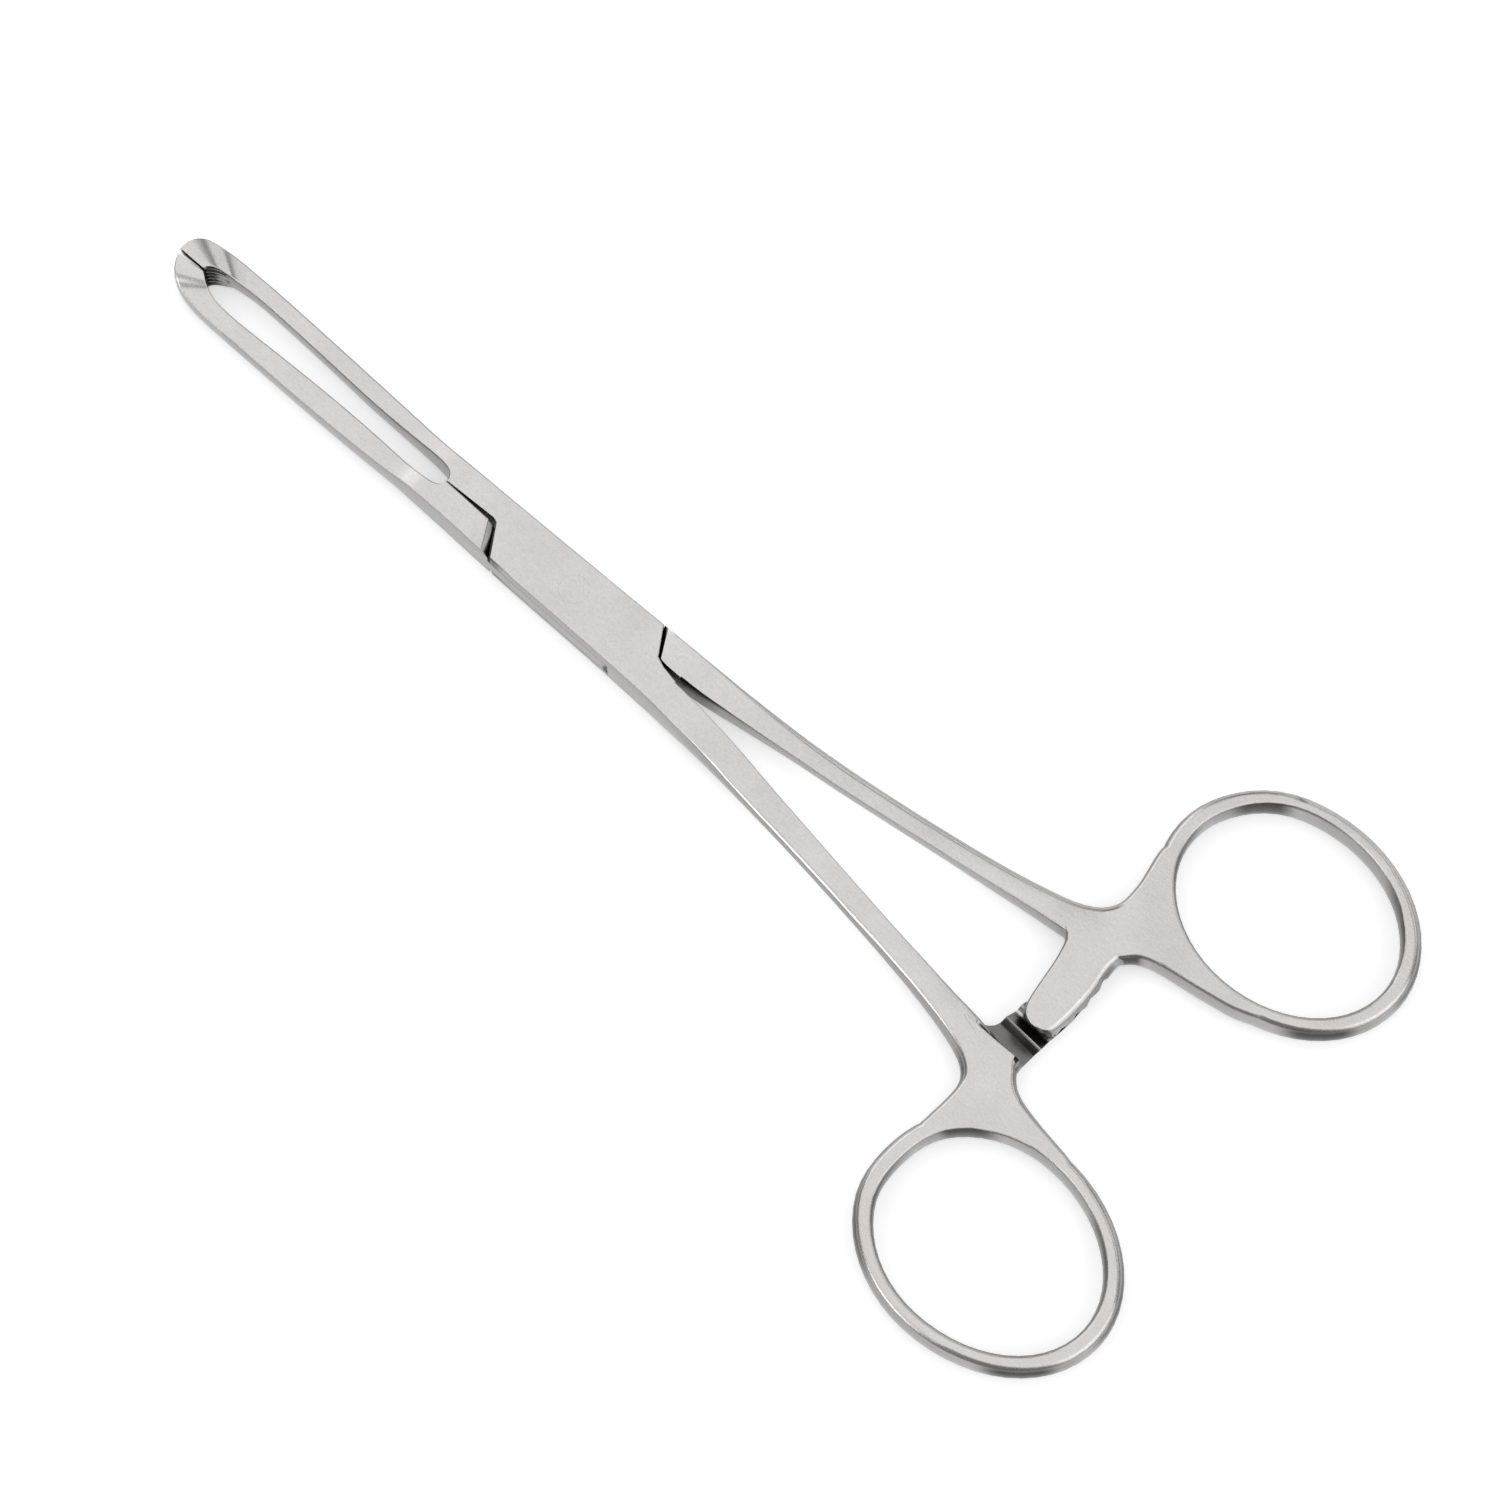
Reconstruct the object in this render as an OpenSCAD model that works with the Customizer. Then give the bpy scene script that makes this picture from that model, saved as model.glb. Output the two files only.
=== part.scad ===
// Tissue forceps with toothed jaws, a box lock, finger rings and a ratchet.
// X runs from the pivot to the finger rings, the jaws point along -X.
// Z is the pivot axis. The underside of the box lock lies on Z = 0.

/* [Whole instrument] */
// Length from the jaw tips to the far end of the finger rings
overall_length = 155; // [130:1:190]
// Depth of the box lock from face to face, also that of the jaw tips
box_depth = 4.6; // [4.2:0.1:5.4]

/* [Jaws] */
// Depth of the slender jaw arms behind the tips
jaw_depth = 2.2; // [1.9:0.1:2.8]
// Height of the teeth at the jaw tips
jaw_tooth_height = 0.6; // [0.4:0.05:0.7]
// Number of teeth on the box arm's jaw, one more than on the other
jaw_teeth = 6; // [5:1:7]
// Space left between the meshing teeth of the closed jaws
jaw_tooth_gap = 0.08; // [0.05:0.01:0.12]

/* [Box lock] */
// Thickness of the tenon that passes through the box
tenon_depth = 1.9; // [1.6:0.1:2.2]
// Space between the tenon and each wall of the box
tenon_gap = 0.1; // [0.06:0.01:0.14]
// Angle of the shoulders to the long axis of the instrument
shoulder_angle = 56; // [52:1:60]
// Width of the slot between a shoulder and the edge of the box wall
shoulder_gap = 0.34; // [0.25:0.01:0.4]
// Width of the bevel along each shoulder
shoulder_bevel = 0.3; // [0.2:0.05:0.5]
// Depth of the bevel below the faces of the box
shoulder_bevel_depth = 0.45; // [0.3:0.05:0.7]

/* [Pivot pin] */
// Diameter of the pivot pin
pin_diameter = 2.6; // [2:0.1:3]
// Diameter of the pin's countersunk heads, ground flush with the box
pin_head_diameter = 3.3; // [3.2:0.1:3.8]
// Radial running clearance of the tenon on the pin
pin_clearance = 0.04; // [0.02:0.01:0.08]
// Radial interference of the pin in the walls of the box
pin_press = 0.01; // [0.005:0.005:0.02]

/* [Shanks] */
// Depth of the shanks at their thinnest
shank_depth = 1.7; // [1.5:0.1:2.4]

/* [Finger rings] */
// Depth of the finger rings and of the necks beside them
ring_depth = 3.2; // [2.8:0.1:3.6]
// Width of the ring wire across the instrument
ring_side_width = 2; // [1.8:0.05:2.4]
// Width of the ring wire at the ends of the ring
ring_end_width = 2.3; // [2.1:0.1:2.8]
// Half the opening of a finger ring along the instrument
ring_hole_long = 12.6; // [11.8:0.1:13]
// Half the opening of a finger ring across the instrument
ring_hole_wide = 10.2; // [9.2:0.1:10.4]

/* [Ratchet] */
// Height of the ratchet teeth
ratchet_height = 0.68; // [0.5:0.02:0.8]
// Distance from tooth to tooth on the ratchet
ratchet_pitch = 2.16; // [1.9:0.01:2.4]
// Run of the locking face of a ratchet tooth
ratchet_lock_run = 0.7; // [0.4:0.05:0.8]
// Space between the tooth crests of the two bars
ratchet_gap = 0.08; // [0.05:0.01:0.12]

/* [Hidden] */

steel = [0.80, 0.79, 0.77];
plan = overall_length / 155;
half = box_depth / 2;
jaw_half = jaw_depth / 2;
shank_half = shank_depth / 2;
ring_half = ring_depth / 2;
tenon_half = tenon_depth / 2;
slot_half = tenon_half + tenon_gap;
far = 60;
tiny = 0.01;
side_steps = 6;
ring_steps = 56;

// A station is [right x, right y, left x, left y, half depth, right bulge, left bulge],
// seen along the way from the jaw tip to the finger ring.

// Jaw of the box arm, from its tooth plate back to the split of the jaws
box_jaw = [
    [-56.45, -0.10, -60.15, -0.10, half, 0.10, 0.20],
    [-56.40, 0.60, -60.30, 0.60, half, 0.10, 0.20],
    [-56.10, 1.00, -60.25, 1.75, half, 0.12, 0.22],
    [-55.60, 1.34, -59.80, 2.72, half * 0.97, 0.14, 0.25],
    [-54.90, 1.62, -58.80, 3.56, half * 0.88, 0.15, 0.28],
    [-53.90, 1.88, -57.15, 4.05, jaw_half * 1.34, 0.15, 0.30],
    [-52.60, 2.02, -54.90, 4.30, jaw_half * 1.14, 0.15, 0.28],
    [-51.00, 2.14, -52.20, 4.34, jaw_half * 1.03, 0.15, 0.22],
    [-49.00, 2.16, -49.20, 4.34, jaw_half, 0.15, 0.20],
    [-44.00, 2.04, -44.00, 4.23, jaw_half, 0.15, 0.20],
    [-38.00, 1.80, -38.00, 4.03, jaw_half * 1.04, 0.15, 0.20],
    [-32.00, 1.54, -32.00, 3.81, jaw_half * 1.14, 0.15, 0.20],
    [-27.00, 1.48, -27.00, 3.60, jaw_half * 1.27, 0.15, 0.20],
    [-23.00, 1.48, -23.00, 3.39, (jaw_half + half) / 2, 0.15, 0.20],
    [-20.80, 1.36, -20.80, 3.34, half * 0.85, 0.15, 0.20],
    [-19.60, 1.05, -19.60, 3.33, half * 0.892, 0.12, 0.20],
    [-18.95, 0.45, -18.95, 3.33, half * 0.9087, 0.10, 0.20],
];

// Jaw of the pass-through arm
tenon_jaw = [
    [-60.00, 1.30, -56.45, 1.30, half, 0.20, 0.10],
    [-60.05, 0.50, -56.45, 0.60, half, 0.20, 0.10],
    [-59.95, -0.35, -56.15, 0.22, half, 0.22, 0.12],
    [-59.50, -1.20, -55.65, -0.08, half * 0.97, 0.25, 0.14],
    [-58.72, -2.08, -55.08, -0.48, half * 0.89, 0.28, 0.15],
    [-57.42, -2.76, -54.30, -0.80, jaw_half * 1.36, 0.30, 0.15],
    [-55.72, -3.19, -53.30, -1.06, jaw_half * 1.16, 0.28, 0.15],
    [-53.60, -3.44, -51.95, -1.17, jaw_half * 1.04, 0.24, 0.15],
    [-50.60, -3.51, -49.80, -1.22, jaw_half, 0.20, 0.15],
    [-46.00, -3.57, -46.00, -1.10, jaw_half, 0.20, 0.15],
    [-40.00, -3.62, -40.00, -0.90, jaw_half * 1.02, 0.20, 0.15],
    [-34.00, -3.61, -34.00, -0.81, jaw_half * 1.10, 0.20, 0.15],
    [-28.00, -3.50, -28.00, -0.90, jaw_half * 1.24, 0.20, 0.15],
    [-24.00, -3.34, -24.00, -1.06, jaw_half * 1.38, 0.20, 0.15],
    [-21.50, -3.31, -21.50, -1.06, half * 0.84, 0.20, 0.15],
    [-20.00, -3.31, -20.00, -0.92, half * 0.88, 0.20, 0.12],
    [-19.30, -3.32, -19.30, -0.62, half * 0.90, 0.20, 0.12],
    [-19.00, -3.32, -19.00, -0.12, half * 0.9075, 0.20, 0.10],
];

// Full outline of the box lock, shared by both arms before they are cut to fit
lock_block = [
    [-18.90, -3.32, -18.90, 3.33, half * 0.91, 0.20, 0.20],
    [-16.50, -3.36, -16.50, 3.33, half * 0.97, 0.20, 0.20],
    [-13.00, -3.47, -13.00, 3.34, half, 0.20, 0.20],
    [-6.00, -3.66, -6.00, 3.42, half, 0.20, 0.20],
    [0.00, -3.72, 0.00, 3.50, half, 0.20, 0.20],
    [7.00, -3.80, 7.00, 3.60, half, 0.20, 0.20],
    [12.50, -3.97, 12.50, 3.72, half, 0.24, 0.24],
    [15.20, -4.09, 15.20, 3.80, half * 0.96, 0.28, 0.28],
];

// Shank, neck and start of the ring on the box arm
box_shank = [
    [15.25, -4.10, 15.25, -0.48, half * 0.957, 0.28, 0.12],
    [18.00, -4.33, 18.00, -0.57, half * 0.82, 0.36, 0.12],
    [22.00, -4.62, 22.00, -0.88, (half + shank_half) / 2 * 0.92, 0.52, 0.10],
    [26.00, -4.98, 26.00, -1.34, shank_half * 1.33, 0.68, 0.10],
    [30.00, -5.38, 30.00, -1.95, shank_half * 1.09, 0.80, 0.10],
    [35.00, -5.88, 35.00, -2.66, shank_half, 0.90, 0.10],
    [40.00, -6.46, 40.00, -3.38, shank_half, 0.90, 0.10],
    [45.00, -7.11, 45.00, -4.11, shank_half * 1.05, 0.88, 0.10],
    [50.00, -7.81, 50.00, -4.81, shank_half * 1.17, 0.86, 0.12],
    [55.00, -8.59, 55.20, -5.46, (shank_half + ring_half) / 2, 0.84, 0.20],
    [59.00, -9.39, 59.60, -5.97, ring_half * 0.85, 0.84, 0.34],
    [62.00, -10.16, 63.20, -6.31, ring_half * 0.94, 0.86, 0.45],
    [64.20, -10.98, 66.50, -6.90, ring_half, 0.88, 0.50],
    [65.42, -11.85, 69.20, -7.60, ring_half, 0.90, 0.60],
    [65.98, -12.75, 70.15, -8.55, ring_half, 0.90, 0.72],
    [66.18, -13.80, 71.00, -9.33, ring_half, 0.88, 0.80],
    [66.20, -14.90, 72.30, -9.96, ring_half, 0.86, 0.84],
    [66.15, -16.00, 74.00, -10.40, ring_half, 0.85, 0.85],
    [66.05, -17.10, 76.00, -10.78, ring_half, 0.85, 0.85],
    [65.98, -18.20, 78.00, -11.08, ring_half, 0.85, 0.85],
    [65.95, -19.20, 80.20, -11.48, ring_half, 0.85, 0.85],
    [66.60, -20.60, 82.60, -12.60, ring_half, 0.85, 0.85],
];

// Shank, neck and start of the ring on the pass-through arm
tenon_shank = [
    [15.25, 0.24, 15.25, 3.78, half * 0.957, 0.12, 0.28],
    [18.00, 0.45, 18.00, 3.95, half * 0.82, 0.12, 0.36],
    [22.00, 0.97, 22.00, 4.18, (half + shank_half) / 2 * 0.92, 0.10, 0.52],
    [26.00, 1.49, 26.00, 4.42, shank_half * 1.33, 0.10, 0.68],
    [30.00, 2.02, 30.00, 4.68, shank_half * 1.09, 0.10, 0.80],
    [35.00, 2.60, 35.00, 5.17, shank_half, 0.10, 0.90],
    [40.00, 3.28, 40.00, 5.79, shank_half, 0.10, 0.90],
    [45.00, 4.00, 45.00, 6.48, shank_half * 1.05, 0.10, 0.88],
    [50.00, 4.72, 50.00, 7.26, shank_half * 1.17, 0.12, 0.86],
    [55.20, 5.41, 55.00, 8.13, (shank_half + ring_half) / 2, 0.20, 0.84],
    [59.60, 5.97, 59.00, 9.04, ring_half * 0.85, 0.34, 0.84],
    [63.20, 6.36, 62.00, 9.86, ring_half * 0.94, 0.45, 0.86],
    [66.50, 6.85, 64.05, 10.86, ring_half, 0.50, 0.88],
    [69.20, 7.45, 65.05, 11.80, ring_half, 0.60, 0.90],
    [70.35, 8.45, 65.62, 12.80, ring_half, 0.72, 0.90],
    [71.10, 9.12, 65.80, 13.85, ring_half, 0.80, 0.88],
    [72.40, 9.74, 65.80, 14.95, ring_half, 0.84, 0.86],
    [74.00, 10.12, 65.72, 16.00, ring_half, 0.85, 0.85],
    [76.00, 10.43, 65.52, 17.10, ring_half, 0.85, 0.85],
    [78.00, 10.73, 65.30, 18.20, ring_half, 0.85, 0.85],
    [80.20, 11.13, 65.08, 19.30, ring_half, 0.85, 0.85],
    [82.50, 11.62, 64.98, 20.40, ring_half, 0.85, 0.85],
    [84.80, 12.60, 65.30, 21.60, ring_half, 0.85, 0.85],
    [86.80, 14.00, 66.20, 22.40, ring_half, 0.85, 0.85],
];

// Ratchet bar of the pass-through arm, from its neck to its rounded end
tenon_bar = [
    [61.90, 7.30, 71.00, 10.20, ring_half, 0.30, 0.90],
    [63.75, 6.45, 70.02, 8.20, ring_half, 0.30, 1.05],
    [64.38, 5.20, 70.02, 5.90, ring_half, 0.30, 1.20],
    [64.86, 3.00, 70.35, 3.40, ring_half, 0.30, 1.20],
    [65.18, 0.60, 70.38, 0.80, ring_half, 0.30, 1.20],
    [65.55, -1.60, 70.25, -1.50, ring_half, 0.30, 1.15],
    [65.92, -2.72, 69.92, -2.65, ring_half, 0.34, 1.00],
    [66.50, -3.22, 69.30, -3.18, ring_half, 0.40, 0.80],
    [67.25, -3.44, 68.60, -3.42, ring_half, 0.40, 0.60],
];

// Ratchet bar of the box arm
box_bar = [
    [71.05, -10.30, 61.60, -7.20, ring_half, 0.90, 0.30],
    [69.80, -8.20, 63.60, -6.40, ring_half, 1.05, 0.30],
    [69.82, -6.20, 64.62, -5.50, ring_half, 1.20, 0.30],
    [70.00, -3.40, 65.12, -3.20, ring_half, 1.20, 0.30],
    [70.28, -0.80, 65.48, -0.70, ring_half, 1.20, 0.30],
    [70.30, 1.80, 65.75, 1.80, ring_half, 1.15, 0.30],
    [70.00, 3.40, 66.10, 3.30, ring_half, 1.00, 0.34],
    [69.40, 3.98, 66.70, 3.95, ring_half, 0.80, 0.40],
    [68.70, 4.22, 67.40, 4.20, ring_half, 0.60, 0.40],
];

// Finger rings: centre, how much longer the far end of the opening is than the mean,
// the small angle by which the ring turns away from the long axis,
// and where and how far the hand bent oval swells outwards or is flatter
box_ring = [78.77, -23.54, 0.79, -1.1, 178, -0.38];
tenon_ring = [79.27, 23.79, 0.13, -0.46, 126, 0.2];
swell_reach = 32;
// Width of the inner part of each ring that the neck leaves to the ring's own wire
ring_lip = 0.9;

// Edges of the box walls and splits between the arms, at mid height of the lock
wall_tip = [-11.50, 0.06];
wall_heel = [11.95, 0.34];
box_split = [[-19.10, 0.09], [-12.10, 0.30]];
tenon_split = [[-19.30, 0.01], [-11.75, -0.27]];
box_crotch = [[13.15, -0.11], [15.30, -0.49]];
tenon_crotch = [[13.05, 0.26], [15.30, 0.25]];
// Ends of the slot inside the box, tip side and ring side
slot_tip = [[-11.60, 0.10], [-8.40, 3.70]];
slot_heel = [[11.60, -0.10], [8.40, -3.70]];
slot_end_gap = 0.25;
root_gap = 0.12;
// Distance from the long axis at which cutters are clear of the lock
beyond = 4.7;
// Height of the meeting line of the jaw teeth
bite_line = 0.78;
bite_front = -60.3;
// Angle by which the jaws stand open behind their front edge
bite_turn = 2.3;
// Start of the bottoms of the grooves that run out behind the teeth, and their direction
run_out_start = [-57.60, 0.98];
run_out_turn = 14.5;
run_out_width = 0.42;
ratchet_radius = 68;
// Width of the flat on each crest, and how far the crests of the two bars stand apart
ratchet_crest = 0.2;
ratchet_lead = 0.12;
// Where each neck steps down to its ratchet, and how far the first slope is drawn out
box_step = -7.15;
tenon_step = 6;
ratchet_run_in = 0.75;
// Turn of the tip side shoulder across its bevel
bevel_turn = 7;

function curve(a, b, c, d, t) =
    0.5 * (2 * b + (c - a) * t + (2 * a - 5 * b + 4 * c - d) * t * t
    + (3 * b - a - 3 * c + d) * t * t * t);

function smooth(list, steps) = concat(
    [for (i = [0:len(list) - 2]) for (k = [0:steps - 1])
        curve(list[max(i - 1, 0)], list[i], list[i + 1],
            list[min(i + 2, len(list) - 1)], k / steps)],
    [list[len(list) - 1]]);

// Point at which a line, moved along the long axis, reaches a distance from that axis
function carried(line, shift, y) = [line[0].x + shift
    + (line[1].x - line[0].x) * (y - line[0].y) / (line[1].y - line[0].y), y];

function spread(list) = [for (s = list)
    [s[0] * plan, s[1] * plan, s[2] * plan, s[3] * plan, s[4], s[5] * plan, s[6] * plan]];

function section(s) = let (
    right = [s[0], s[1]],
    left = [s[2], s[3]],
    way = (left - right) / norm(left - right))
    concat(
        [for (k = [0:side_steps]) let (t = 90 - 180 * k / side_steps)
            [right.x + way.x * s[5] * (1 - cos(t)),
             right.y + way.y * s[5] * (1 - cos(t)), s[4] * sin(t)]],
        [for (k = [0:side_steps]) let (t = -90 + 180 * k / side_steps)
            [left.x - way.x * s[6] * (1 - cos(t)),
             left.y - way.y * s[6] * (1 - cos(t)), s[4] * sin(t)]]);

// Solid skinned over a row of stations, closed on itself for a ring
module skin(stations, ring = false) {
    count = len(stations);
    n = 2 * side_steps + 2;
    points = [for (s = stations) for (p = section(s)) p];
    spans = ring ? count - 1 : count - 2;
    sides = [for (i = [0:spans]) for (j = [0:n - 1])
        let (a = i * n + j, b = i * n + (j + 1) % n,
            c = ((i + 1) % count) * n + j, d = ((i + 1) % count) * n + (j + 1) % n)
        for (f = [[a, c, d], [a, d, b]]) f];
    start = [[for (j = [0:n - 1]) j]];
    finish = [[for (j = [n - 1:-1:0]) (count - 1) * n + j]];
    polyhedron(points = points, faces = ring ? sides : concat(start, sides, finish));
}

// Flat cutter through the whole depth, from an outline in the plan
module through(outline) {
    translate([0, 0, -far / 2])
        linear_extrude(far)
            polygon(outline * plan);
}

// Point on an oval about a ring's centre, at a distance outside the ring's opening
function ring_point(ring, t, out_long, out_wide) = let (
    reach = ring_hole_long + (cos(t) > 0 ? ring[2] : -ring[2]),
    swell = abs(t - ring[4]) < swell_reach ?
        ring[5] * cos(90 * (t - ring[4]) / swell_reach) ^ 2 : 0,
    x = (reach + out_long + swell) * cos(t),
    y = (ring_hole_wide + out_wide + swell) * sin(t))
    [ring.x + x * cos(ring[3]) - y * sin(ring[3]),
     ring.y + x * sin(ring[3]) + y * cos(ring[3])];

// Finger ring with a narrow flat on each face
module finger_ring(ring) {
    stations = [for (i = [0:ring_steps - 1]) let (
        t = 360 * i / ring_steps,
        outer = ring_point(ring, t, ring_end_width, ring_side_width),
        inner = ring_point(ring, t, 0, 0))
        [outer.x, outer.y, inner.x, inner.y, ring_half, 0.85, 0.42]];
    skin(spread(stations), ring = true);
}

// Oval cutter that keeps a neck out of the opening of its ring
module ring_opening(ring) {
    through([for (i = [0:ring_steps - 1])
        ring_point(ring, 360 * i / ring_steps, ring_lip, ring_lip)]);
}

// Everything on one side of the meshing line of the jaw teeth
module bite(side, gap) {
    pitch = box_depth / jaw_teeth;
    rows = [for (k = [0:2 * jaw_teeth - 2])
        [(k % 2 == 0 ? -1 : 1) * jaw_tooth_height / 2, (k - jaw_teeth + 1) * pitch / 2]];
    outline = concat(
        [[side * 5, -far / 2], [-jaw_tooth_height / 2, -far / 2]], rows,
        [[-jaw_tooth_height / 2, far / 2], [side * 5, far / 2]]);
    translate([bite_front * plan, bite_line * plan - gap, 0])
        rotate([0, 0, gap > 0 ? -bite_turn : 0])
            translate([-1, 0, 0])
                rotate([90, 0, 90])
                    linear_extrude(6.5 * plan)
                        polygon(outline);
}

// Grooves that run out from between the teeth on the inner side of the box arm's jaw
module run_outs() {
    pitch = box_depth / jaw_teeth;
    for (k = [0:jaw_teeth - 2])
        translate([run_out_start.x * plan, run_out_start.y * plan, (k - jaw_teeth / 2 + 1) * pitch])
            rotate([0, 0, run_out_turn])
                rotate([90, 0, 90])
                    linear_extrude(3.4 * plan)
                        polygon([[0, 0], [-jaw_tooth_height, run_out_width / 2],
                            [-jaw_tooth_height, -run_out_width / 2]]);
}

// Saw notch of the ratchet, cut downwards, its lock face on the +Y side,
// its slope drawn out by a run-in
module saw_notch(middle, run_in) {
    angle = middle / ratchet_radius * 180 / PI;
    start = ((ratchet_crest - ratchet_pitch) / 2 - run_in) * plan;
    finish = (ratchet_pitch - ratchet_crest) / 2 * plan;
    rotate([0, 0, angle])
        translate([(ratchet_radius - 6) * plan, 0, 0])
            rotate([90, 0, 90])
                linear_extrude(12 * plan)
                    polygon([
                        [start, tiny], [start, 0],
                        [finish - ratchet_lock_run, -ratchet_height],
                        [finish, 0], [finish, tiny]]);
}

// Row of notches whose crests stand at whole pitches, moved along by a lead
module ratchet_teeth(lead, run_in) {
    for (i = [-3:1])
        saw_notch((i + 0.5) * ratchet_pitch + lead, i == -3 ? run_in : 0);
}

// Outline of a wall pocket, its shoulders set back by a bevel and turned by an angle
function pocket_outline(bevel, turn) = let (
    reach = 9,
    tip = 1 / tan(shoulder_angle + turn),
    heel = 1 / tan(shoulder_angle)) [
        [wall_tip.x - shoulder_gap - reach * tip, reach],
        [wall_tip.x - shoulder_gap + reach * tip, -reach],
        [wall_heel.x + shoulder_gap + bevel + reach * heel, -reach],
        [wall_heel.x + shoulder_gap + bevel - reach * heel, reach]] * plan;

// Pocket of the pass-through arm that makes room for one box wall
module wall_pocket() {
    translate([0, 0, tenon_half])
        linear_extrude(half)
            polygon(pocket_outline(0, 0));
    hull() {
        translate([0, 0, half - shoulder_bevel_depth])
            linear_extrude(tiny)
                polygon(pocket_outline(0, 0));
        translate([0, 0, half])
            linear_extrude(1)
                polygon(pocket_outline(shoulder_bevel, bevel_turn));
    }
}

module box_arm() {
    cot = 1 / tan(shoulder_angle);
    color(steel)
    translate([0, 0, half])
    union() {
        difference() {
            skin(concat(smooth(spread(box_jaw), 2), smooth(spread(lock_block), 1),
                smooth(spread(box_shank), 2)));
            // room for the jaw of the other arm
            through([box_split[0], box_split[1],
                wall_tip,
                [wall_tip.x + beyond * cot, wall_tip.y - beyond],
                [box_split[0].x, -beyond]]);
            // room for the shank of the other arm
            through([[wall_heel.x - beyond * cot, wall_heel.y + beyond], wall_heel,
                box_crotch[0], box_crotch[1], [box_crotch[1].x, wall_heel.y + beyond]]);
            // slot for the tenon
            intersection() {
                translate([-far / 2, -far / 2, -slot_half])
                    cube([far, far, 2 * slot_half]);
                through([slot_tip[0], carried(slot_tip, 0, beyond),
                    [box_crotch[1].x, beyond], slot_heel[0],
                    carried(slot_heel, 0, -beyond), [box_split[0].x, -beyond]]);
            }
            cylinder(h = far, r = pin_diameter / 2 - pin_press, center = true, $fn = 48);
            pin_heads(-pin_press);
            bite(-1, 0);
            run_outs();
            ring_opening(box_ring);
        }
        finger_ring(box_ring);
        box_ratchet();
    }
}

module box_ratchet() {
    difference() {
        skin(smooth(spread(box_bar), 2));
        translate([55 * plan, box_step * plan, -ratchet_gap / 2])
            cube([25 * plan, 20 * plan, 10]);
        translate([0, 0, -ratchet_gap / 2])
            ratchet_teeth(0, ratchet_run_in);
    }
}

module tenon_ratchet() {
    difference() {
        skin(smooth(spread(tenon_bar), 2));
        translate([55 * plan, (tenon_step - 20) * plan, ratchet_gap / 2 - 10])
            cube([25 * plan, 20 * plan, 10]);
        translate([0, 0, ratchet_gap / 2])
            mirror([0, 0, 1])
                mirror([0, 1, 0])
                    ratchet_teeth(ratchet_lead, 0);
    }
}

module pin_heads(grow) {
    rise = (pin_head_diameter - pin_diameter) / 2;
    for (side = [-1, 1])
        mirror([0, 0, side < 0 ? 1 : 0])
            translate([0, 0, half - rise])
                cylinder(h = rise, r1 = pin_diameter / 2 + grow,
                    r2 = pin_head_diameter / 2 + grow, $fn = 48);
}

module tenon_arm() {
    color(steel)
    translate([0, 0, half])
    union() {
        difference() {
            skin(concat(smooth(spread(tenon_jaw), 2), smooth(spread(lock_block), 1),
                smooth(spread(tenon_shank), 2)));
            // room for the jaw and the upper root of the other arm
            through([tenon_split[0], tenon_split[1],
                [slot_tip[0].x + slot_end_gap, slot_tip[0].y - root_gap],
                carried(slot_tip, slot_end_gap, beyond), [tenon_split[0].x, beyond]]);
            // room for the shank and the lower root of the other arm
            through([tenon_crotch[1], tenon_crotch[0],
                [wall_heel.x - slot_end_gap, wall_heel.y + root_gap],
                [slot_heel[0].x - slot_end_gap, slot_heel[0].y + root_gap],
                carried(slot_heel, -slot_end_gap, -beyond), [tenon_crotch[1].x, -beyond]]);
            wall_pocket();
            mirror([0, 0, 1])
                wall_pocket();
            bite(1, jaw_tooth_gap);
            ring_opening(tenon_ring);
            cylinder(h = far, r = pin_diameter / 2 + pin_clearance, center = true, $fn = 48);
        }
        finger_ring(tenon_ring);
        tenon_ratchet();
    }
}

module pivot_pin() {
    color(steel)
    translate([0, 0, half])
    union() {
        cylinder(h = box_depth, r = pin_diameter / 2, center = true, $fn = 48);
        pin_heads(0);
    }
}

box_arm();
tenon_arm();
pivot_pin();
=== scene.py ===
# Tissue forceps in satin steel, lying closed on a white table between soft studio lamps.
import bpy
import math
from mathutils import Matrix, Vector


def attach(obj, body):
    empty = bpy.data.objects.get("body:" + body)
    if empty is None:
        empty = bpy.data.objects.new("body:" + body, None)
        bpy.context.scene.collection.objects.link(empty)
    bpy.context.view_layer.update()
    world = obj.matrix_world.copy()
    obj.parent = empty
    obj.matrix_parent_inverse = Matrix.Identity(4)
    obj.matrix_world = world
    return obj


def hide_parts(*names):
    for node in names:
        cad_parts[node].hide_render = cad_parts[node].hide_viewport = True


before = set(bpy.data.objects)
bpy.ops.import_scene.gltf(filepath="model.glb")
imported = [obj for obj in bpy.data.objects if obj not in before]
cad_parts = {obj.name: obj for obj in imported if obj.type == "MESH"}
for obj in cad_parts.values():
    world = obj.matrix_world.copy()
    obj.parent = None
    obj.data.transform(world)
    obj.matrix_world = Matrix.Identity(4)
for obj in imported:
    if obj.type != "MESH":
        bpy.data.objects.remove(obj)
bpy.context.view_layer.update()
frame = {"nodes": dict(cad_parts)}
print("frame loaded:", ", ".join(frame["nodes"]))

millimetre = 0.001
middlePlane = 2.3  # height of the instrument's own middle, in millimetres

# the view of the photograph: a long lens, leaning over the instrument by about twenty degrees
viewpoint = {
    "place": (0.126903, -0.108471, 0.397487),
    "forward": (-0.239907, 0.256353, -0.936337),
    "up": (-0.630023, 0.692691, 0.351071),
    "lens": 95.886,
}

# in millimetres: where the ratchet teeth lie, how far the pin's head reaches,
# and where the softer edges of the rings set in
zones = {
    "teethAlong": (63.5, 71.2),
    "teethAcross": (-7.1, 5.6),
    "teethHeight": (1.45, 3.15),
    "pinHead": 2.2,
    "ringAside": (10, 16),
    "ringRearward": (58, 68),
}

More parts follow.
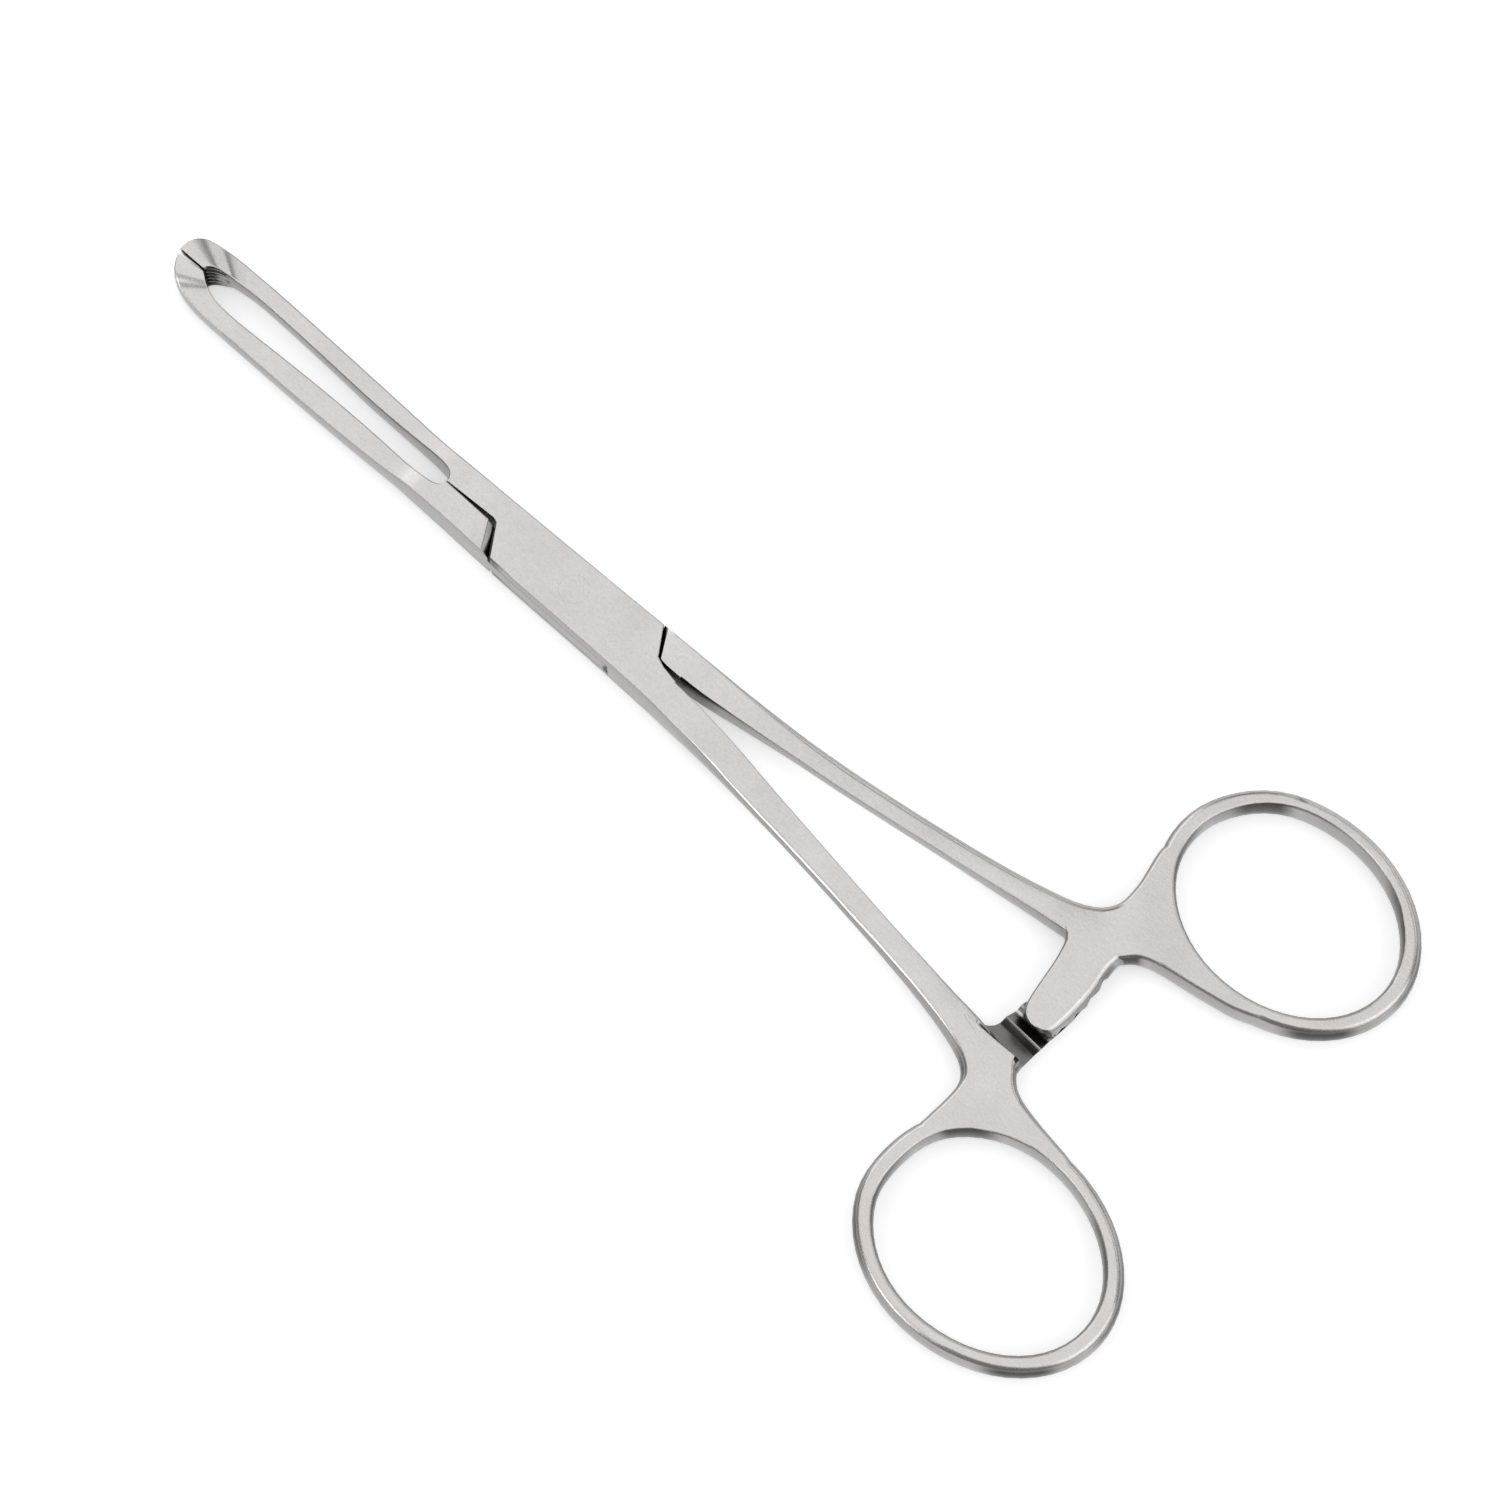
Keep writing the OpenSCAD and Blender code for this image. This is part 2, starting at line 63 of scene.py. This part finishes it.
# soft light: one wide box overhead that the ground faces mirror, one on each side, dim air between them
lighting = {
    "overheadPlace": (0.06, -0.02, 0.86),
    "overheadSize": (2.00, 1.00),
    "overheadPower": 4.75,
    "leftPlace": (-0.22, -0.80, 0.50),
    "leftSize": (0.50, 0.50),
    "leftPower": 1.75,
    "rightPlace": (0.84, 0.10, 0.42),
    "rightSize": (0.90, 0.60),
    "rightPower": 1.90,
    "farPlace": (-0.83, 0.25, 0.42),
    "farSize": (0.60, 0.74),
    "farPower": 1.45,
    "backPlace": (0.10, 0.84, 0.52),
    "backSize": (1.00, 0.56),
    "backPower": 1.25,
    "airColor": (0.24, 0.24, 0.245),
    "floorColor": (0.84, 0.84, 0.84),
    "floorGlow": 0.50,
}

# what the steel is finished with, and the shade and highlights painted on it; the side tones pair a bearing
# in degrees with a tone of painted shade and highlight, and the crevice and tooth colours are painted shade
armFinishAndPaintedLight = {
    "edgeAngle": 32,
    "steelColor": (0.73, 0.705, 0.68),
    "darkColor": (0.62, 0.60, 0.58),
    "paintedSideTones": ((-180, 0.15), (-158, 0.13), (-136, 0.07), (-122, 0.13), (-108, 0.30), (-84, 0.34),
                  (-68, 0.38), (-56, 0.07), (-38, 0.07), (-26, 0.30), (-10, 0.36), (6, 0.16), (26, 0.08),
                  (48, 0.13), (72, 0.18), (180, 0.15)),
    "sideTilt": (0.45, 0.94),
    "tipStart": -50,
    "roughness": (0.20, 0.32),
    "grainRange": (0.34, 0.66),
    "edgeRadius": (0.20, 0.38),
    "paintedCreviceShade": (0.03, 0.028, 0.027),
    "creviceReach": 1.5,
    "paintedToothShade": (0.22, 0.21, 0.205),
}


def onlySelect(*objs):
    if bpy.context.mode != "OBJECT":
        bpy.ops.object.mode_set(mode="OBJECT")
    bpy.ops.object.select_all(action="DESELECT")
    for o in objs:
        o.select_set(True)
    bpy.context.view_layer.objects.active = objs[0]


def addNode(tree, kind, where, **inputs):
    node = tree.nodes.new(kind)
    node.location = where
    for name, value in inputs.items():
        node.inputs[name.replace("_", " ")].default_value = value
    return node


def mathNode(tree, operation, where, first, second=None):
    node = tree.nodes.new("ShaderNodeMath")
    node.operation = operation
    node.location = where
    for socket, value in zip(node.inputs, (first, second)):
        if isinstance(value, bpy.types.NodeSocket):
            tree.links.new(value, socket)
        elif value is not None:
            socket.default_value = value
    return node.outputs[0]


def mixNumber(tree, where, share, first, second):
    node = tree.nodes.new("ShaderNodeMix")
    node.data_type = "FLOAT"
    node.location = where
    node.inputs[0].default_value = share
    tree.links.new(first, node.inputs[2])
    tree.links.new(second, node.inputs[3])
    return node.outputs[0]


def mixColor(tree, where, share, first, second):
    node = tree.nodes.new("ShaderNodeMix")
    node.data_type = "RGBA"
    node.location = where
    tree.links.new(share, node.inputs[0])
    for socket, color in ((node.inputs[6], first), (node.inputs[7], second)):
        if color is not None:
            socket.default_value = (*color, 1)
    return node.outputs[2]


# 1 between two places on an axis, given in millimetres, 0 elsewhere
def window(tree, where, value, start, finish):
    x, y = where
    above = mathNode(tree, "GREATER_THAN", (x, y), value, start * millimetre)
    below = mathNode(tree, "LESS_THAN", (x, y - 40), value, finish * millimetre)
    return mathNode(tree, "MULTIPLY", (x + 200, y), above, below)


# satin steel: fine speckle and short grinding marks, with painted shade in the crevices and on the sloped
# ratchet teeth, and painted shade and highlight strips on the sides
def satinSteel(name, look, grain):
    mat = bpy.data.materials.new(name)
    mat.use_nodes = True
    tree = mat.node_tree
    link = tree.links.new
    shader = tree.nodes["Principled BSDF"]
    shader.inputs["Metallic"].default_value = 1.0
    place = addNode(tree, "ShaderNodeTexCoord", (-1800, 0))
    turn = addNode(tree, "ShaderNodeMapping", (-1600, 0), Rotation=(0, 0, math.radians(grain["turn"])),
                   Scale=grain["scale"])
    link(place.outputs["Object"], turn.inputs["Vector"])
    marks = addNode(tree, "ShaderNodeTexNoise", (-1400, 100), Scale=1.0, Detail=3.0, Roughness=0.6)
    link(turn.outputs["Vector"], marks.inputs["Vector"])
    speckle = addNode(tree, "ShaderNodeTexNoise", (-1400, -200), Scale=grain["speckle"], Detail=3.0,
                      Roughness=0.65)
    link(place.outputs["Object"], speckle.inputs["Vector"])
    clouds = addNode(tree, "ShaderNodeTexNoise", (-1400, -450), Scale=170.0, Detail=2.0, Roughness=0.5)
    link(place.outputs["Object"], clouds.inputs["Vector"])
    fine = mixNumber(tree, (-1150, 0), 0.62, marks.outputs["Fac"], speckle.outputs["Fac"])
    blend = mixNumber(tree, (-950, 0), 0.30, fine, clouds.outputs["Fac"])
    fineEnd, coarseEnd = look["grainRange"]
    tone = addNode(tree, "ShaderNodeMapRange", (-750, 160), From_Min=fineEnd, From_Max=coarseEnd)
    link(blend, tone.inputs["Value"])
    polished = mixColor(tree, (-540, 200), tone.outputs["Result"], look["darkColor"], look["steelColor"])

    # edges are softened, but not where the pin is ground flush with the box, nor on the ratchet teeth
    spot = addNode(tree, "ShaderNodeSeparateXYZ", (-1400, 500))
    link(place.outputs["Object"], spot.inputs[0])
    surface = addNode(tree, "ShaderNodeNewGeometry", (-1400, 700))
    along = window(tree, (-1200, 500), spot.outputs["X"], *zones["teethAlong"])
    across = window(tree, (-1200, 350), spot.outputs["Y"], *zones["teethAcross"])
    height = window(tree, (-1200, 200), spot.outputs["Z"], *zones["teethHeight"])
    patch = mathNode(tree, "MULTIPLY", (-800, 450), along, across)
    teeth = mathNode(tree, "MULTIPLY", (-600, 450), patch, height)
    near, far = [reach * millimetre for reach in zones["ringAside"]]
    outward = addNode(tree, "ShaderNodeMapRange", (-1400, -800), From_Min=near, From_Max=far)
    link(mathNode(tree, "ABSOLUTE", (-1600, -800), spot.outputs["Y"]), outward.inputs["Value"])
    near, far = [reach * millimetre for reach in zones["ringRearward"]]
    rearward = addNode(tree, "ShaderNodeMapRange", (-1400, -1050), From_Min=near, From_Max=far)
    link(spot.outputs["X"], rearward.inputs["Value"])
    onRing = mathNode(tree, "MULTIPLY", (-1200, -900), outward.outputs["Result"], rearward.outputs["Result"])
    small, large = [radius * millimetre for radius in look["edgeRadius"]]
    radius = addNode(tree, "ShaderNodeMapRange", (-1100, -420), To_Min=small, To_Max=large)
    link(onRing, radius.inputs["Value"])
    softened = tree.nodes.new("ShaderNodeBevel")
    softened.location = (-940, -420)
    softened.samples = 8
    link(radius.outputs["Result"], softened.inputs["Radius"])
    flatSpot = addNode(tree, "ShaderNodeVectorMath", (-1150, -650))
    flatSpot.operation = "MULTIPLY"
    flatSpot.inputs[1].default_value = (1, 1, 0)
    link(place.outputs["Object"], flatSpot.inputs[0])
    fromPin = addNode(tree, "ShaderNodeVectorMath", (-950, -650))
    fromPin.operation = "LENGTH"
    link(flatSpot.outputs[0], fromPin.inputs[0])
    clearOfPin = mathNode(tree, "GREATER_THAN", (-740, -650), fromPin.outputs["Value"],
                          zones["pinHead"] * millimetre)
    rounded = mathNode(tree, "SUBTRACT", (-600, -650), clearOfPin, teeth)
    normal = tree.nodes.new("ShaderNodeMix")
    normal.data_type = "VECTOR"
    normal.location = (-440, -520)
    link(rounded, normal.inputs[0])
    link(surface.outputs["Normal"], normal.inputs[4])
    link(softened.outputs["Normal"], normal.inputs[5])

    # painted shade and painted highlight strips: the colour of the sides is set by the bearing they face,
    # not by the steel
    # sides are darker than the faces, in tones that follow the bearing they face:
    # chosen after the strips in the photograph, and fixed to the room, not to the arm
    facing = addNode(tree, "ShaderNodeSeparateXYZ", (-1200, 700))
    link(normal.outputs[1], facing.inputs[0])
    upright = mathNode(tree, "ABSOLUTE", (-1000, 700), facing.outputs["Z"])
    steep, level = look["sideTilt"]
    ground = addNode(tree, "ShaderNodeMapRange", (-800, 800), From_Min=steep, From_Max=level)
    ground.interpolation_type = "SMOOTHSTEP"
    atTip = mathNode(tree, "LESS_THAN", (-1000, 800), spot.outputs["X"], look["tipStart"] * millimetre)
    evener = mathNode(tree, "MULTIPLY_ADD", (-900, 760), atTip, 0.3)
    link(upright, evener.node.inputs[2])
    link(evener, ground.inputs["Value"])
    bearing = mathNode(tree, "ARCTAN2", (-1000, 900), facing.outputs["Y"], facing.outputs["X"])
    turned = addNode(tree, "ShaderNodeMapRange", (-800, 1050), From_Min=-math.pi, From_Max=math.pi)
    link(bearing, turned.inputs["Value"])
    paintedSideBands = addNode(tree, "ShaderNodeValToRGB", (-620, 1050))
    paintedSideBands.color_ramp.interpolation = "EASE"
    stops = paintedSideBands.color_ramp.elements
    while len(stops) < len(look["paintedSideTones"]):
        stops.new(0.5)
    for stop, (degrees, shade) in zip(stops, look["paintedSideTones"]):
        stop.position = (degrees + 180) / 360
    for stop, (degrees, shade) in zip(stops, look["paintedSideTones"]):
        stop.color = (shade, shade * 0.98, shade * 0.96, 1)
    link(turned.outputs["Result"], paintedSideBands.inputs["Fac"])
    paintedSideMix = mixColor(tree, (-340, 320), ground.outputs["Result"], None, None)
    link(paintedSideBands.outputs["Color"], paintedSideMix.node.inputs[6])
    link(polished, paintedSideMix.node.inputs[7])

    # painted shade on the ratchet teeth: what slopes along the ratchet gets a dark colour
    sloped = mathNode(tree, "LESS_THAN", (-800, 650), upright, 0.985)
    lengthways = mathNode(tree, "ABSOLUTE", (-1000, 600), facing.outputs["X"])
    endways = mathNode(tree, "LESS_THAN", (-800, 600), lengthways, 0.35)
    slope = mathNode(tree, "MULTIPLY", (-600, 600), sloped, endways)
    toothShadeMask = mathNode(tree, "MULTIPLY", (-400, 500), teeth, slope)
    withToothShade = mixColor(tree, (-240, 240), toothShadeMask, None, look["paintedToothShade"])
    link(paintedSideMix, withToothShade.node.inputs[6])

    # painted shade: slots, tooth roots and the crotch, where little light reaches, are darkened in colour by
    # ambient occlusion, less so on the teeth
    reach = look["creviceReach"] * millimetre
    crevice = addNode(tree, "ShaderNodeAmbientOcclusion", (-540, -100), Distance=reach)
    crevice.samples = 8
    shade = mathNode(tree, "POWER", (-440, -60), crevice.outputs["AO"], 1.8)
    lifted = mathNode(tree, "MULTIPLY_ADD", (-340, -60), teeth, 0.45)
    link(shade, lifted.node.inputs[2])
    opening = mathNode(tree, "MINIMUM", (-240, -60), lifted, 1.0)
    color = mixColor(tree, (-140, 200), opening, look["paintedCreviceShade"], None)
    link(withToothShade, color.node.inputs[7])

    rough = addNode(tree, "ShaderNodeMapRange", (-340, -260), From_Min=fineEnd, From_Max=coarseEnd,
                    To_Min=look["roughness"][1], To_Max=look["roughness"][0])
    link(blend, rough.inputs["Value"])
    bump = addNode(tree, "ShaderNodeBump", (-140, -420), Strength=0.10, Distance=0.00001)
    link(fine, bump.inputs["Height"])
    link(normal.outputs[1], bump.inputs["Normal"])
    link(color, shader.inputs["Base Color"])
    link(rough.outputs["Result"], shader.inputs["Roughness"])
    link(bump.outputs["Normal"], shader.inputs["Normal"])
    return mat


# the points of a piece inside a box given in millimetres, over and under the middle plane alike
def selectPoints(piece, xRange, yRange, heightRange):
    bpy.ops.object.mode_set(mode="EDIT")
    bpy.ops.mesh.select_mode(type="VERT")
    bpy.ops.mesh.select_all(action="DESELECT")
    bpy.ops.object.mode_set(mode="OBJECT")
    for v in piece.data.vertices:
        x, y, z = [c / millimetre for c in v.co]
        v.select = (xRange[0] < x < xRange[1] and yRange[0] < y < yRange[1]
                    and heightRange[0] < abs(z - middlePlane) < heightRange[1])
    bpy.ops.object.mode_set(mode="EDIT")


# what the mends touch, in millimetres: the start of a ratchet bar, the tenon's heel shoulder,
# the ring's wire; rootScale is a ratio, by which the bar's start is brought nearer the middle plane
mendZones = {
    "rootAlong": (61.2, 63.4),
    "rootHeight": (1.545, 3.0),
    "rootScale": 0.94,
    "heelAlong": (10.2, 11.5),
    "heelAcross": (0.3, 3.47),
    "heelHeight": (2.2, 2.4),
    "wireStart": -6,
    "wireInside": 11.8,
}


# small mends inside the CAD box: the start of a ratchet bar is lowered to its shank,
# the heel slot opens at the top and the outer edge of a ring is rounded off
def dressArm(piece, look):
    at = mendZones
    selectPoints(piece, at["rootAlong"], look["barRoot"], at["rootHeight"])
    middle = (0, 0, middlePlane * millimetre)
    bpy.ops.transform.resize(value=(1, 1, at["rootScale"]), center_override=middle)
    if look["slotShift"]:
        selectPoints(piece, at["heelAlong"], at["heelAcross"], at["heelHeight"])
        bpy.ops.transform.translate(value=(look["slotShift"] * millimetre, 0, 0))
    bpy.ops.object.mode_set(mode="OBJECT")
    hollow = Vector((*look["ringMiddle"], 0)) * millimetre
    besides = {}
    for face in piece.data.polygons:
        for key in face.edge_keys:
            besides.setdefault(key, []).append(face)
    bpy.ops.object.mode_set(mode="EDIT")
    bpy.ops.mesh.select_all(action="DESELECT")
    bpy.ops.mesh.select_mode(type="EDGE")
    bpy.ops.object.mode_set(mode="OBJECT")
    chosen = 0
    for edge in piece.data.edges:
        faces = sorted(besides[edge.key], key=lambda f: abs(f.normal.z))  # the side first, then the face
        first, second = [piece.data.vertices[i].co for i in edge.vertices]
        outward = (first + second) / 2 - hollow
        outward.z = 0
        onWire = outward.x > at["wireStart"] * millimetre and len(faces) == 2
        edge.select = (onWire and abs(faces[1].normal.z) > 0.99 and abs(faces[0].normal.z) < 0.9
                       and faces[0].normal.dot(outward) > 0
                       and outward.length > at["wireInside"] * millimetre)
        chosen += edge.select
    bpy.ops.object.mode_set(mode="EDIT")
    bpy.ops.mesh.bevel(offset=look["ringRound"] * millimetre, segments=3, profile=0.5,
                       clamp_overlap=True)
    bpy.ops.object.mode_set(mode="OBJECT")
    print(piece.name, "ring edges rounded:", chosen)


# a forged piece: its loose facets are welded and its curved sides shaded round
def forgedPiece(nodeName, pieceName, body, mat, look, dress=None):
    source = frame["nodes"][nodeName]
    onlySelect(source)
    bpy.ops.object.duplicate()
    piece = bpy.context.view_layer.objects.active
    piece.name = pieceName
    piece.data.name = pieceName
    bpy.ops.object.mode_set(mode="EDIT")
    bpy.ops.mesh.select_all(action="SELECT")
    bpy.ops.mesh.remove_doubles(threshold=0.000002)
    bpy.ops.mesh.normals_make_consistent(inside=False)
    bpy.ops.mesh.dissolve_limited(angle_limit=math.radians(0.05))
    bpy.ops.object.mode_set(mode="OBJECT")
    if dress:
        dressArm(piece, dress)
    bpy.ops.object.shade_smooth_by_angle(angle=math.radians(look["edgeAngle"]))
    even = piece.modifiers.new("flat faces", "WEIGHTED_NORMAL")
    even.keep_sharp = True
    even.weight = 100
    bpy.ops.object.modifier_apply(modifier=even.name)
    piece.data.materials.clear()
    piece.data.materials.append(mat)
    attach(piece, body)
    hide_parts(nodeName)
    print(pieceName, "welded:", len(piece.data.polygons), "faces")
    return piece


# in millimetres: where the ratchet bar starts, how far the heel slot opens,
# and the middle and the rounding of the ring
boxDress = {"barRoot": (-8.8, -5.8), "slotShift": 0, "ringMiddle": (78.77, -23.54), "ringRound": 0.38}
tenonDress = {"barRoot": (5.8, 8.8), "slotShift": 0.28, "ringMiddle": (79.27, 23.79), "ringRound": 0.38}
armGrain = {"turn": 28, "scale": (900, 7500, 7500), "speckle": 3600}
armSteel = satinSteel("satin steel", armFinishAndPaintedLight, armGrain)
boxArm = forgedPiece("box_arm", "boxArm", "box_half", armSteel, armFinishAndPaintedLight, boxDress)
tenonArm = forgedPiece("tenon_arm", "tenonArm", "tenon_half", armSteel, armFinishAndPaintedLight, tenonDress)
pivotPin = forgedPiece("pivot_pin", "pivotPin", "box_half", armSteel, armFinishAndPaintedLight)


# the table: white to the camera and in the steel, a plain pale surface to everything else
def whiteTable():
    onlySelect(frame["nodes"]["pivot_pin"])
    bpy.ops.object.select_all(action="DESELECT")
    bpy.ops.mesh.primitive_grid_add(x_subdivisions=8, y_subdivisions=8, size=6.0, location=(0, 0, -0.00003))
    table = bpy.context.view_layer.objects.active
    table.name = "table"
    mat = bpy.data.materials.new("white table")
    mat.use_nodes = True
    tree = mat.node_tree
    link = tree.links.new
    paper = tree.nodes["Principled BSDF"]
    paper.inputs["Base Color"].default_value = (*lighting["floorColor"], 1)
    paper.inputs["Roughness"].default_value = 0.9
    rays = tree.nodes.new("ShaderNodeLightPath")
    seen = tree.nodes.new("ShaderNodeMath")
    seen.operation = "MAXIMUM"
    link(rays.outputs["Is Camera Ray"], seen.inputs[0])
    link(rays.outputs["Is Glossy Ray"], seen.inputs[1])
    clear = tree.nodes.new("ShaderNodeMath")
    clear.operation = "MAXIMUM"
    link(seen.outputs[0], clear.inputs[0])
    link(rays.outputs["Is Transmission Ray"], clear.inputs[1])
    level = tree.nodes.new("ShaderNodeMath")
    level.operation = "MULTIPLY"
    level.inputs[1].default_value = lighting["floorGlow"]
    link(clear.outputs[0], level.inputs[0])
    glow = tree.nodes.new("ShaderNodeEmission")
    link(level.outputs[0], glow.inputs["Strength"])
    both = tree.nodes.new("ShaderNodeAddShader")
    link(paper.outputs[0], both.inputs[0])
    link(glow.outputs[0], both.inputs[1])
    link(both.outputs[0], tree.nodes["Material Output"].inputs["Surface"])
    table.data.materials.append(mat)
    return table


def softLamp(name, place, size, power):
    aim = Vector((0.01, 0, 0)) - Vector(place)
    turn = (0, 0, 0) if name.startswith("overhead") else aim.to_track_quat("-Z", "Y").to_euler()
    bpy.ops.object.light_add(type="AREA", location=place, rotation=turn)
    lamp = bpy.context.view_layer.objects.active
    lamp.name = name
    lamp.data.shape = "RECTANGLE"
    lamp.data.size, lamp.data.size_y = size
    lamp.data.energy = power
    return lamp


# dim air all round, so that the steel darkens where it mirrors no lamp
def dimAir():
    air = bpy.data.worlds.new("dim air")
    bpy.context.scene.world = air
    air.use_nodes = True
    air.node_tree.nodes["Background"].inputs["Color"].default_value = (*lighting["airColor"], 1)
    air.node_tree.nodes["Background"].inputs["Strength"].default_value = 1.0


whiteTable()
for side in ("overhead", "left", "right", "far", "back"):
    softLamp(side + " lamp", lighting[side + "Place"], lighting[side + "Size"], lighting[side + "Power"])
dimAir()
print("table, lamps and air set")

# camera
forward = Vector(viewpoint["forward"]).normalized()
up = Vector(viewpoint["up"]).normalized()
right = forward.cross(up).normalized()
up = right.cross(forward)
bpy.ops.object.camera_add(location=viewpoint["place"])
camera = bpy.context.view_layer.objects.active
camera.name = "camera"
turn = Matrix((right, up, -forward)).transposed().to_4x4()
camera.matrix_world = Matrix.Translation(Vector(viewpoint["place"])) @ turn
camera.data.lens = viewpoint["lens"]
camera.data.sensor_width = 36.0
camera.data.clip_start = 0.01
bpy.context.scene.camera = camera
bpy.context.scene.view_settings.view_transform = "Standard"
